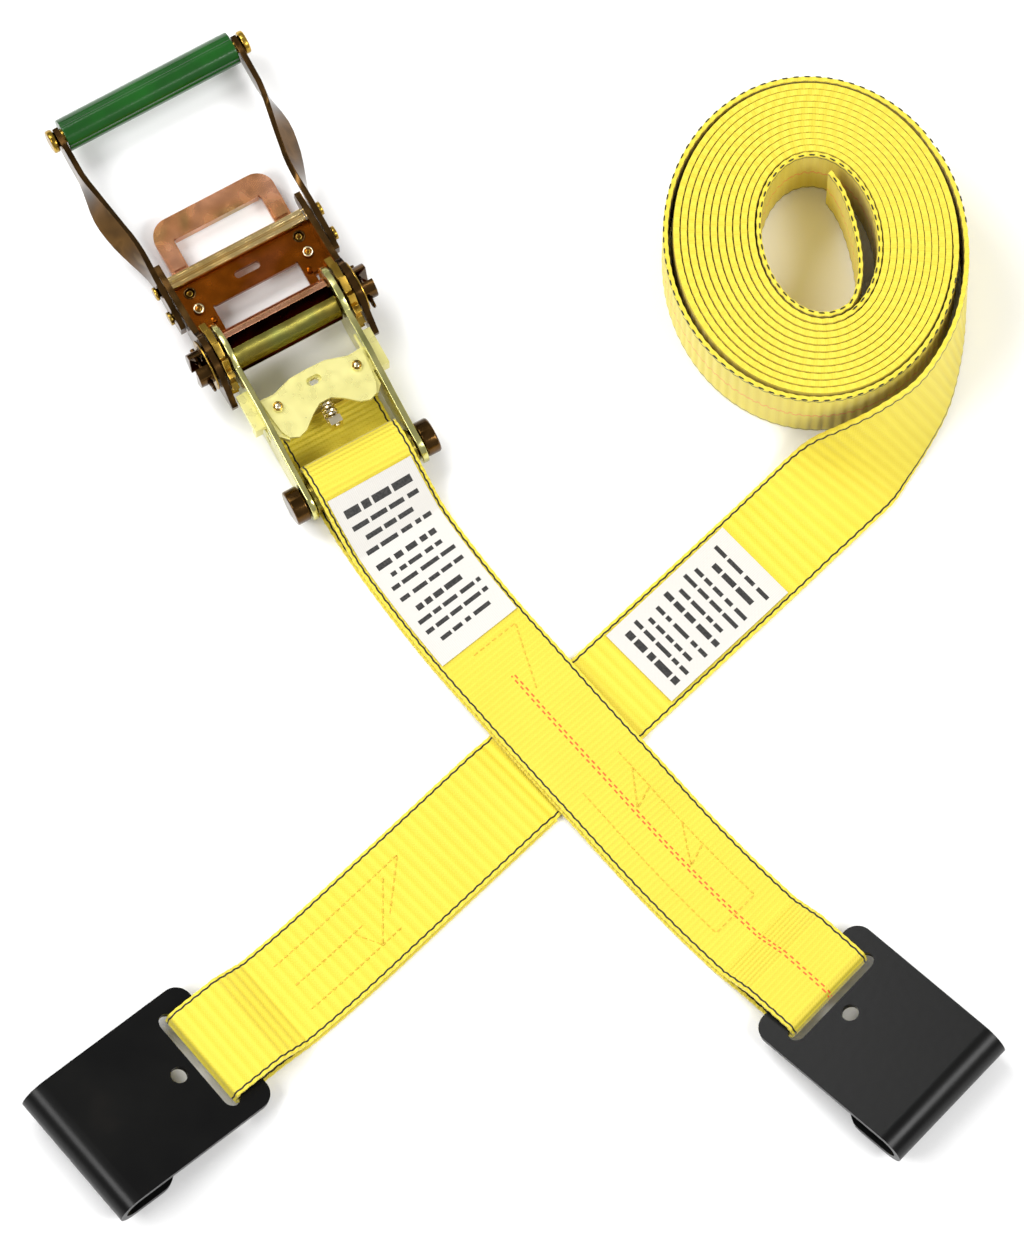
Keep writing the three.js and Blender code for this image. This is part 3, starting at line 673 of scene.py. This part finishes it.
def follow(start, heading_at, s):
    """Place and heading after a run s along a course on the floor."""
    steps = 40
    place = Vector((start[0], start[1], 0))
    for i in range(steps):
        heading = heading_at(s * (i + 0.5) / steps)
        place += Vector((math.cos(heading), math.sin(heading), 0)) * (s / steps)
    return place, heading_at(s)


def short_heading(s):
    start, middle = math.degrees(RATCHET_TURN) - 90, -47.2
    bend = (start - middle) * math.exp(-max(s, 0) / 0.070)
    return math.radians(middle + bend + 4.2 * smoothstep((s - 0.215) / 0.075))


def short_course(s):
    return follow(ratchet_point(0, BOLT[0], 0), short_heading, s)


def long_heading(back):
    return math.radians(43.9 - 3.9 * smoothstep((-back - LONG_LENGTH + 0.090) / 0.070))


LONG_END = Vector((130, 46.5, 0)) * MM + ORIGIN


def long_course(s):
    return follow(LONG_END, long_heading, s - LONG_LENGTH)


def short_under(s):
    """Height of the short strap's lower face, lifted where it crosses the long one."""
    t = (abs(s - 0.154) - 0.027) / 0.042
    return FLOOR_GAP + 0.0029 * (1 - smoothstep(t))


def short_upper(s):
    """Height of the doubled short strap's top face."""
    flat = short_under(s) + DOUBLE
    return flat + max(0.0, 0.033 - s) * 0.6


def long_upper(s):
    """Height of the long strap's top face, doubled near its hook."""
    return FLOOR_GAP + 0.0024 + 0.0025 * (1 - smoothstep((s - 0.178) / 0.010))


def laid(course, line):
    """Places (run, height, sideways) of a line on a course as points and side vectors."""
    points, across = [], []
    for s, z, side in line:
        place, heading = course(s)
        left = Vector((-math.sin(heading), math.cos(heading), 0))
        points.append(place + left * side + Vector((0, 0, z + ORIGIN.z)))
        across.append(left)
    return points, across


def hook_fold(s, way):
    """The webbing's middle line round a hook's bar at run s, from under it to over it."""
    rise = LOOP_RADIUS * math.sin(math.radians(LOOP_HALF_ARC))
    inner = s - way * 0.018
    line = [(inner, HOOK_BAR_Z - rise + 0.0003, -0.0003)]
    for k in range(-8, 9):
        a = math.radians(k * LOOP_HALF_ARC / 8)
        line.append((s + way * LOOP_RADIUS * math.cos(a), HOOK_BAR_Z + LOOP_RADIUS * math.sin(a), 0.0))
    line.append((inner, HOOK_BAR_Z + rise - 0.001, 0.0))
    return line


# ---- Operators ----


class StrapStage(bpy.types.Operator):
    """Pale floor, soft studio light and the camera"""

    bl_idname = "strap.stage"
    bl_label = "Stage"

    def execute(self, context):
        scene = context.scene
        deselect()
        bpy.ops.mesh.primitive_plane_add(size=8, location=(0, 0, 0))
        floor = context.object
        floor.name = "studio_floor"
        bpy.ops.object.transform_apply(location=True, rotation=True, scale=True)
        made, tree, shader = material("matt_white_paper", 0.0, 0.9, 0xFFFFFF)
        floor.data.materials.append(made)
        world = bpy.data.worlds.new("studio")
        scene.world = world
        world.use_nodes = True
        back = world.node_tree.nodes["Background"]
        back.inputs["Color"].default_value = (1, 1, 1, 1)
        back.inputs["Strength"].default_value = 0.42
        for name, place, size, power in (
            ("key_light", (-1.2, 1.1, 1.8), 1.2, 34),
            ("right_light", (1.4, -0.65, 1.75), 0.9, 30),
            ("left_light", (-1.4, -0.65, 1.75), 0.9, 22),
        ):
            light = bpy.data.lights.new(name, "AREA")
            light.energy = power
            light.size = size
            lamp = bpy.data.objects.new(name, light)
            scene.collection.objects.link(lamp)
            lamp.location = place
            lamp.rotation_euler = Vector(place).to_track_quat("Z", "Y").to_euler()
        lens = bpy.data.cameras.new("camera")
        lens.sensor_width = 36
        lens.lens = 379
        camera = bpy.data.objects.new("camera", lens)
        scene.collection.objects.link(camera)
        elevation, distance = math.radians(75), 6.0
        target = Vector((-0.0009, 0.0014, 0))
        camera.location = target + Vector((0, -math.cos(elevation), math.sin(elevation))) * distance
        camera.rotation_euler = (camera.location - target).to_track_quat("Z", "Y").to_euler()
        scene.camera = camera
        scene.view_settings.view_transform = "Standard"
        return {"FINISHED"}


class StrapFrame(bpy.types.Operator):
    """Ratchet frame, bolt, pawl, cover, rivets and spring"""

    bl_idname = "strap.frame"
    bl_label = "Ratchet frame"

    def execute(self, context):
        for name in ("frame_plate_left", "frame_plate_right"):
            pressed(name, "olive", 0.0007)
        pressed("pawl_spring_seat", "steel", 0.0004)
        pressed("frame_pawl", "zinc", 0.0006)
        pressed("frame_pawl_cover", "zinc", 0.0005)
        for name in ("anchor_bolt", "anchor_nut"):
            pressed(name, "umber", 0.0011, 3)
        pressed("anchor_sleeve", "bronze", 0.0006)
        for name in ("frame_pawl_rivet_left", "frame_pawl_rivet_right"):
            pressed(name, "zinc", 0.0006, 3)
        pressed("pawl_guide_rod", "steel", 0.0004)
        pressed("frame_pawl_spring", "steel", 0.0)
        stud(
            "cover_rivet_heads",
            [(-20.5, -38.8, 25.6), (20.5, -38.8, 25.6)],
            "frame_pawl",
            [("ring", 1.9, 0.45, 0, "gold"), ("dome", 1.5, 0.4, 0, "steel")],
        )
        return {"FINISHED"}


class StrapDrum(bpy.types.Operator):
    """Split drum, toothed wheels, washers and split pins"""

    bl_idname = "strap.drum"
    bl_label = "Drum"

    def execute(self, context):
        slot_turn = math.radians(82)
        flat = Vector((0, -math.sin(slot_turn), math.cos(slot_turn)))
        for name, finish in (("drum_half_front", "bronze"), ("drum_half_rear", "rose")):
            half = pressed(name, finish, 0.0006, 2, 30)
            # The slot's walls take the dark finish: painted shade in the deep slot.
            tint(half, "dark", lambda at, facing: abs(facing.dot(flat)) > 0.99)
            # The drum's ends beyond 30 mm from the middle take the umber film: painted shade between the
            # wheels and walls.
            tint(half, "umber", lambda at, facing: abs(at.x) > 30)
        for name in ("ratchet_wheel_left", "ratchet_wheel_right"):
            pressed(name, "gold", 0.0005, 3)
        for name in ("drum_washer_left", "drum_washer_right"):
            pressed(name, "gold", 0.0003)
        for name in ("split_pin_left", "split_pin_right"):
            pressed(name, "umber", 0.0003)
        return {"FINISHED"}


class StrapHandle(bpy.types.Operator):
    """Handle plate, bead, arms, rivets, grip and finger pull"""

    bl_idname = "strap.handle"
    bl_label = "Handle"

    def execute(self, context):
        plate = pressed("handle_frame", "copper", 0.0006)
        # The side walls beyond 34.9 mm from the middle take the umber film: painted shade where they stand
        # beside the wheels.
        tint(plate, "umber", lambda at, facing: abs(at.x) > 34.9)
        sides = (-28.5, 28.5)
        stud(
            "handle_rivet_rings",
            [(x, 23, 11.9) for x in sides],
            "handle",
            [
                ("ring", 2.1, 0.55, 0, "steel"),
                ("ring", 0.9, 0.3, 0, "gold"),
                ("dome", 2.0, 0.25, -0.3, "copper"),
            ],
        )
        # Each screw head sits sunk in a hole; its dome takes the dark finish as painted shade inside the
        # hole.
        stud(
            "handle_screw_heads",
            [(x, 31.8, 10.4) for x in sides],
            "handle",
            [
                ("ring", 2.6, 0.4, 0, "umber"),
                ("dome", 2.5, 0.3, -1.2, "dark"),
                ("ring", 1.2, 0.3, -0.6, "gold"),
            ],
        )
        stud(
            "handle_pips",
            [(-25, 15.3, 11.2), (25, 15.3, 11.2)],
            "handle",
            [("dome", 1.8, 0.6, 0, "copper")],
        )
        pressed("handle_guide_bar", "brass", 0.0008, 3)
        for name in ("handle_arm_left", "handle_arm_right"):
            pressed(name, "umber", 0.0008, 3)
        for name in ("arm_rivet_front", "arm_rivet_rear"):
            for side in ("_left", "_right"):
                pressed(name + side, "gold", 0.0007, 3)
        pressed("grip_rod", "gold", 0.0012, 3)
        pressed("grip", "pvc", 0.0005, 3, 60)
        pressed("handle_pull", "rose", 0.0009, 3)
        return {"FINISHED"}


class StrapHooks(bpy.types.Operator):
    """The two flat hooks"""

    bl_idname = "strap.hooks"
    bl_label = "Flat hooks"

    def execute(self, context):
        for name in ("short_hook", "long_hook"):
            pressed(name, "black", 0.0008, 3)
        return {"FINISHED"}


class StrapShortWebbing(bpy.types.Operator):
    """The buckle's own strap, sewn round the bolt and the hook's bar"""

    bl_idname = "strap.short_webbing"
    bl_label = "Short strap"

    def execute(self, context):
        sizes = context.scene.strap_sizes
        line = [(s * MM, 0.0023, 0.0) for s in range(-41, 2, 3)]
        for k in range(3, int((SHORT_LENGTH - 0.034) / MM), 6):
            s = k * MM
            line.append((s, short_under(s) + HALF_LAYER + 0.001 * (1 - smoothstep(s / 0.03)), -0.0009))
        line += hook_fold(SHORT_LENGTH, 1)
        for k in range(int((SHORT_LENGTH - 0.034) / MM), 36, -6):
            s = k * MM
            line.append((s, short_upper(s) - HALF_LAYER, 0.0))
        line.append((0.030, short_upper(0.030) - 0.0013, 0.0))
        for a in range(60, 232, 8):
            t = math.radians(a)
            loose = 0.00965 + 0.0045 * max(0.0, math.cos(t - 2.5)) ** 2
            line.append((loose * math.cos(t), BOLT[1] + 0.00965 * math.sin(t), 0.0))
        points, across = laid(short_course, line)
        path = along(points, across, ROW_STEP)
        piece = strip(
            "short_strap_webbing",
            path,
            sizes.web_thick,
            "web_short",
            sizes,
            sizes.short_rib_pitch,
        )
        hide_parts("short_webbing")
        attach(piece, "short_strap")
        return {"FINISHED"}


COIL_AT = Vector((137.9, 167.3, 0)) * MM + ORIGIN
COIL_DRIFT = Vector((0.0018, 0.0021, 0))
COIL_TURN = math.radians(98)
COIL_MAJOR = 0.0793
COIL_MINOR = 0.0696
COIL_START = -109.4
# Height of the middle of the webbing where it stands on edge.
EDGE_MIDDLE = 0.0251
COIL_TURNS = 12.87
LOOSE_END = 13.23


def coil_point(turns, pitch):
    """Middle of the webbing after so many turns from where it joins the coil, going inwards."""
    offset = -0.0013 - pitch * turns - 0.0004 * smoothstep((turns - 0.85) / 0.3)
    offset += 0.0012 * (1 - smoothstep(turns / 0.25)) + 0.0012 * math.exp(-(((turns - 0.58) / 0.16) ** 2))
    if turns > COIL_TURNS:
        share = (turns - COIL_TURNS) / (LOOSE_END - COIL_TURNS)
        offset -= 0.0072 * math.sin(math.pi * 0.86 * min(1, share))
    t = math.radians(COIL_START + 360 * turns)
    a = (COIL_MAJOR + offset * 0.98) * math.cos(t)
    b = (COIL_MINOR + offset * 1.03) * math.sin(t)
    c, s = math.cos(COIL_TURN), math.sin(COIL_TURN)
    return COIL_AT + COIL_DRIFT * min(1, turns / COIL_TURNS) + Vector((c * a - s * b, s * a + c * b, 0))


def catmull(points, t):
    """A point on the smooth curve through the points; t counts points."""
    i = min(len(points) - 2, int(t))
    f = t - i
    p = [points[max(0, min(len(points) - 1, i + k))] for k in (-1, 0, 1, 2)]
    if i == 0:
        p[0] = 2 * p[1] - p[2]
    if i == len(points) - 2:
        p[3] = 2 * p[2] - p[1]
    return (
        p[1] * 2 + (p[2] - p[0]) * f + (p[0] * 2 - p[1] * 5 + p[2] * 4 - p[3]) * f * f
        + (p[1] * 3 - p[0] - p[2] * 3 + p[3]) * f ** 3
    ) * 0.5


TWIST_UPPER = [
    (94.0, 47.0, 1.3), (111.8, 64.0, 1.5), (131, 78, 12), (150, 82.5, 34), (167.5, 89.5, 46),
    (186, 102, 50), (200.6, 125, 50.2), (207.0, 150, 50.0),
]
TWIST_LOWER = [
    (128.0, 11.6, 1.3), (148.2, 29.4, 1.3), (168, 50.5, 1.5), (180, 66.5, 1.5), (189.5, 80, 1.5),
    (200, 101.5, 1.5), (205.9, 127, 1.0), (207.6, 150, 0.6),
]


def long_path(step, pitch):
    """The long strap's whole course, from its sewn end round the hook to its loose end in the coil."""
    line = [(s * MM, FLOOR_GAP + HALF_LAYER, -0.0008) for s in range(186, 34, -6)]
    line += hook_fold(0.0, -1)
    for k in range(34, int(LONG_LENGTH / MM) - 14, 4):
        s = k * MM
        line.append((s, long_upper(s) - HALF_LAYER, 0.0))
    points, across = laid(long_course, line)
    upper = [Vector(p) * MM + ORIGIN for p in TWIST_UPPER]
    lower = [Vector(p) * MM + ORIGIN for p in TWIST_LOWER]
    for k in (1, 2, 3):
        place = coil_point(k * 0.05, pitch)
        upper.append(place + Vector((0, 0, 2 * EDGE_MIDDLE - 0.0004)))
        lower.append(place + Vector((0, 0, 0.0004)))
    for k in range(8, (len(upper) - 1) * 8 + 1):
        a, b = catmull(upper, k / 8), catmull(lower, k / 8)
        points.append((a + b) / 2)
        across.append((a - b).normalized())
    turns = 0.155
    while turns < LOOSE_END:
        points.append(coil_point(turns, pitch) + Vector((0, 0, EDGE_MIDDLE)))
        across.append(Vector((0, 0, 1)))
        turns += 0.008
    return along(points, across, step)


class StrapLongWebbing(bpy.types.Operator):
    """The long strap: sewn round its hook's bar, laid flat, turned on edge and wound up"""

    bl_idname = "strap.long_webbing"
    bl_label = "Long strap"

    def execute(self, context):
        sizes = context.scene.strap_sizes
        path = long_path(ROW_STEP, sizes.coil_pitch)
        piece = strip(
            "long_strap_webbing",
            path,
            sizes.web_thick,
            "web_long",
            sizes,
            sizes.rib_pitch,
            (COIL_OUTER_RUN, COIL_INNER_RUN),
            sizes.coil_thick,
        )
        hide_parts("long_webbing", "long_webbing_twist", "webbing_coil")
        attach(piece, "long_strap")
        return {"FINISHED"}


def label(name, start, end, width, upper_at, course, seed, cad, body):
    """A sewn-on label with plain grey bars in place of print."""
    rows = int(round((end - start) / 0.0007))
    columns = int(round(width / 0.0007))
    deselect()
    bpy.ops.mesh.primitive_grid_add(x_subdivisions=rows, y_subdivisions=columns, size=1)
    piece = bpy.context.object
    piece.name = name
    mesh = piece.data
    uv = mesh.uv_layers[0]
    uv.name = "Strip"
    spots = []
    cache = {}
    for vertex in mesh.vertices:
        i = round((vertex.co.x + 0.5) * rows)
        j = round((vertex.co.y + 0.5) * columns)
        s = start + (end - start) * i / rows
        side = width * (j / columns - 0.5)
        if i not in cache:
            cache[i] = course(s)
        place, heading = cache[i]
        left = Vector((-math.sin(heading), math.cos(heading), 0))
        curl = 0.0004 * (abs(side) / (width / 2)) ** 6
        lift = 0.0005 * max(0.0, 1 - abs(s - 0.033) / 0.012)
        spots.append((s, side))
        vertex.co = place + left * side + Vector((0, 0, upper_at(s) + 0.00055 + lift + curl + ORIGIN.z))
    for loop in mesh.loops:
        uv.data[loop.index].uv = spots[loop.vertex_index]
    mesh.materials.append(MATERIALS["label"])
    mesh.materials.append(MATERIALS["ink"])
    print_bars(mesh, spots, start, end, width, seed)
    shell = piece.modifiers.new("thickness", "SOLIDIFY")
    shell.thickness = 0.0004
    shell.offset = 0.0
    apply_modifiers(piece)
    smooth(piece, 40)
    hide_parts(cad)
    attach(piece, body)
    return piece


def print_bars(mesh, spots, start, end, width, seed):
    """Marks rows of short plain bars, as words would fall, without any lettering."""
    state = seed
    bars = []
    along_label = start + 0.006
    row = 0
    while along_label < end - 0.006:
        tall = 0.0035 if row == 0 else (0.0021 if row % 4 else 0.0028)
        reach = width / 2 - 0.004 - (0.0035 if row % 3 == 2 else 0.0)
        across = -reach
        while across < reach - 0.002:
            state = (state * 1103515245 + 12345) % 2147483648
            word = 0.003 + 0.007 * ((state >> 8) % 100) / 100
            bars.append((along_label, along_label + tall, across, min(reach, across + word)))
            across += word + 0.0016
        along_label += tall + (0.0052 if row % 4 == 3 else 0.0037)
        row += 1
    for face in mesh.polygons:
        s = sum(spots[k][0] for k in face.vertices) / len(face.vertices)
        side = sum(spots[k][1] for k in face.vertices) / len(face.vertices)
        if any(a < s < b and c < side < d for a, b, c, d in bars):
            face.material_index = 1


class StrapLabels(bpy.types.Operator):
    """The two sewn labels, with plain bars"""

    bl_idname = "strap.labels"
    bl_label = "Labels"

    def execute(self, context):
        label(
            "short_strap_label",
            0.007,
            0.094,
            0.0437,
            short_upper,
            short_course,
            7,
            "short_label",
            "short_strap",
        )
        label(
            "long_strap_label",
            LONG_LENGTH - 0.100,
            LONG_LENGTH - 0.026,
            0.043,
            long_upper,
            long_course,
            23,
            "long_label",
            "long_strap",
        )
        return {"FINISHED"}


def seam(course, upper_at, a, b, pitch, height=0.0002):
    """Stitch places along a straight line on a strap between two (run, side) points."""
    count = max(1, int(math.hypot(b[0] - a[0], b[1] - a[1]) / pitch))
    places = []
    for k in range(count):
        ends = []
        for f in ((k + 0.12) / count, (k + 0.88) / count):
            s, side = a[0] + (b[0] - a[0]) * f, a[1] + (b[1] - a[1]) * f
            place, heading = course(s)
            left = Vector((-math.sin(heading), math.cos(heading), 0))
            ends.append(place + left * side + Vector((0, 0, upper_at(s) + height + ORIGIN.z)))
        places.append(((ends[0] + ends[1]) / 2, (ends[1] - ends[0]) / 2, (0, 0, 1)))
    return places


class StrapStitches(bpy.types.Operator):
    """Seam stitching on the doubled straps and dark thread on the coil's rims"""

    bl_idname = "strap.stitches"
    bl_label = "Stitches"

    def execute(self, context):
        pitch = context.scene.strap_sizes.stitch_length
        short = []
        a, b = 0.176, 0.268
        for p, q in (
            ((a, 0.0125), (b, 0.0125)), ((a + 0.004, -0.0125), (b, -0.0125)), ((b, -0.0125), (b, 0.0125)),
            ((a + 0.010, 0.0125), (a + 0.026, 0.0015)), ((a + 0.026, 0.0015), (a + 0.022, 0.0125)),
            ((a + 0.044, 0.0125), (a + 0.062, 0.0015)), ((a + 0.062, 0.0015), (a + 0.058, 0.0125)),
        ):
            short += seam(short_course, short_upper, p, q, pitch)
        short += seam(short_course, short_upper, (0.099, -0.008), (0.099, 0.017), pitch)
        short += seam(short_course, short_upper, (0.099, 0.017), (0.130, 0.004), pitch)
        piece = stitches("short_strap_seam", short, 0.00022, "thread")
        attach(piece, "short_strap")
        long = []
        a, b = 0.044, 0.122
        for p, q in (
            ((a, 0.0130), (b, 0.0130)), ((a, -0.0130), (b - 0.022, -0.0130)),
            ((a + 0.002, 0.0), (b - 0.034, 0.0)),
            ((b, 0.0130), (b - 0.022, -0.0050)), ((b - 0.012, 0.0100), (b - 0.034, -0.0130)),
            ((b - 0.034, -0.0130), (b - 0.040, 0.0)),
        ):
            long += seam(long_course, long_upper, p, q, pitch)
        piece = stitches("long_strap_seam", long, 0.00022, "thread")
        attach(piece, "long_strap")
        rim = []
        coil_pitch = context.scene.strap_sizes.coil_pitch
        for first, last, side in ((0.05, 0.99, 0.0009), (COIL_TURNS - 1.0, LOOSE_END - 0.01, -0.0004)):
            turns = first
            while turns < last:
                p, q = coil_point(turns, coil_pitch), coil_point(turns + 0.0068, coil_pitch)
                length = (q - p).length
                out = (q - p).normalized().cross(Vector((0, 0, 1)))
                middle = (p + q) / 2 + out * side + Vector((0, 0, EDGE_MIDDLE + 0.0247))
                rim.append((middle, (q - p) * (0.0016 / length), (0, 0, 1)))
                turns += 0.0068 * 0.0051 / length
        piece = stitches("coil_rim_thread", rim, 0.00035, "dark_thread")
        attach(piece, "long_strap")
        return {"FINISHED"}


OPERATORS = (
    StrapStage,
    StrapFrame,
    StrapDrum,
    StrapHandle,
    StrapHooks,
    StrapShortWebbing,
    StrapLongWebbing,
    StrapLabels,
    StrapStitches,
)


class StrapPanel(bpy.types.Panel):
    """Lists the strap's pieces"""

    bl_idname = "VIEW3D_PT_strap"
    bl_label = "Ratchet strap"
    bl_space_type = "VIEW_3D"
    bl_region_type = "UI"
    bl_category = "Strap"

    def draw(self, context):
        for group in (context.scene.strap_sizes, context.scene.strap_colours):
            for name in group.bl_rna.properties.keys():
                if name not in ("rna_type", "name"):
                    self.layout.prop(group, name)
        for operator in OPERATORS:
            self.layout.operator(operator.bl_idname)


CLASSES = (StrapSizes, StrapColours) + OPERATORS + (StrapPanel,)


def register():
    for made in CLASSES:
        bpy.utils.register_class(made)
    bpy.types.Scene.strap_sizes = PointerProperty(type=StrapSizes)
    bpy.types.Scene.strap_colours = PointerProperty(type=StrapColours)


def unregister():
    del bpy.types.Scene.strap_colours
    del bpy.types.Scene.strap_sizes
    for made in reversed(CLASSES):
        bpy.utils.unregister_class(made)


def main():
    """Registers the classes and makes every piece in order."""
    register()
    make_materials(bpy.context.scene)
    for operator in OPERATORS:
        group, name = operator.bl_idname.split(".")
        getattr(getattr(bpy.ops, group), name)()


if __name__ == "__main__":
    main()
